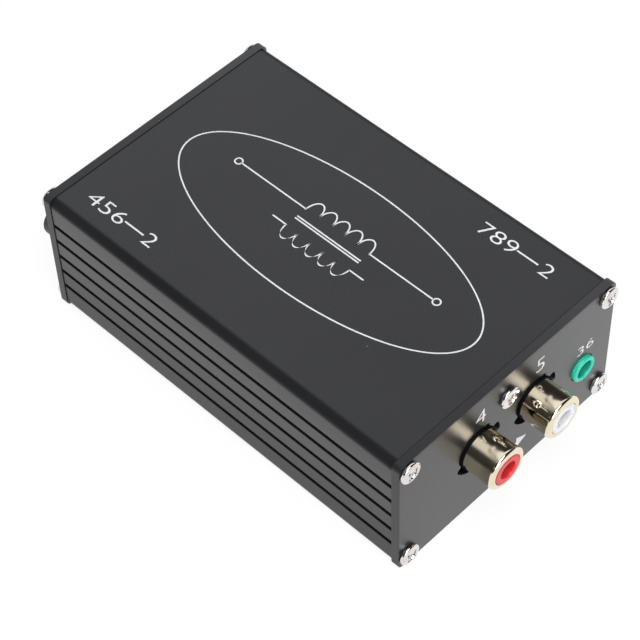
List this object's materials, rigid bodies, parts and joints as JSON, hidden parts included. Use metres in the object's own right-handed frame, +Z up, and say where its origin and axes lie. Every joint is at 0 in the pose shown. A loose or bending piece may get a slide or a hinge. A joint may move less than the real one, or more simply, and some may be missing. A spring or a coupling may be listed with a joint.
{
  "type": "ground loop isolator",
  "caption": "Black aluminium box that breaks a ground loop: phono sockets and a 3.5 mm jack at each end, with audio transformers between them.",
  "frame": {"origin": "middle of the resting plane, under the middle of the case", "axes": "+X across the front plate, towards its 3.5 mm jack; +Y along the case, from the front plate to the rear plate; +Z up"},
  "size_m": [0.0522, 0.0973, 0.028],
  "materials": {
    "anodised": "satin black anodised aluminium",
    "screw": "nickel plated steel",
    "gold": "pale gold plating, bright",
    "red": "moulded, semi-gloss",
    "white": "moulded, semi-gloss",
    "green": "moulded, semi-gloss",
    "black_moulding": "matt moulded",
    "tinned": "tin plated spring metal",
    "board": "glass fibre laminate with solder mask",
    "core": "stacked laminations",
    "tape": "polyester tape round the winding",
    "print": "white screen print"
  },
  "bodies": {
    "root": {"case_shell": "anodised", "circuit_board": "board", "front_corner_screw_1": "screw", "front_corner_screw_2": "screw", "front_corner_screw_3": "screw", "front_corner_screw_4": "screw", "front_end_plate": "anodised", "front_jack_body": "green", "front_jack_ring_contact": "tinned", "front_jack_sleeve_contact": "tinned", "front_jack_tip_contact": "tinned", "front_phono_contact_red": "tinned", "front_phono_contact_white": "tinned", "front_phono_housing": "black_moulding", "front_phono_insulator_red": "red", "front_phono_insulator_white": "white", "front_phono_shell_red": "gold", "front_phono_shell_white": "gold", "front_socket_screw": "screw", "left_transformer_bobbin": "black_moulding", "left_transformer_core_lower": "core", "left_transformer_core_upper": "core", "left_transformer_pin_1": "tinned", "left_transformer_pin_2": "tinned", "left_transformer_pin_3": "tinned", "left_transformer_pin_4": "tinned", "left_transformer_winding": "tape", "rear_corner_screw_1": "screw", "rear_corner_screw_2": "screw", "rear_corner_screw_3": "screw", "rear_corner_screw_4": "screw", "rear_end_plate": "anodised", "rear_jack_body": "green", "rear_jack_cap": "black_moulding", "rear_jack_ring_contact": "tinned", "rear_jack_sleeve_contact": "tinned", "rear_jack_tip_contact": "tinned", "rear_phono_contact_red": "tinned", "rear_phono_contact_white": "tinned", "rear_phono_housing": "black_moulding", "rear_phono_insulator_red": "red", "rear_phono_insulator_white": "white", "rear_phono_shell_red": "gold", "rear_phono_shell_white": "gold", "rear_socket_screw": "screw", "right_transformer_bobbin": "black_moulding", "right_transformer_core_lower": "core", "right_transformer_core_upper": "core", "right_transformer_pin_1": "tinned", "right_transformer_pin_2": "tinned", "right_transformer_pin_3": "tinned", "right_transformer_pin_4": "tinned", "right_transformer_winding": "tape"}
  },
  "joints": []
}
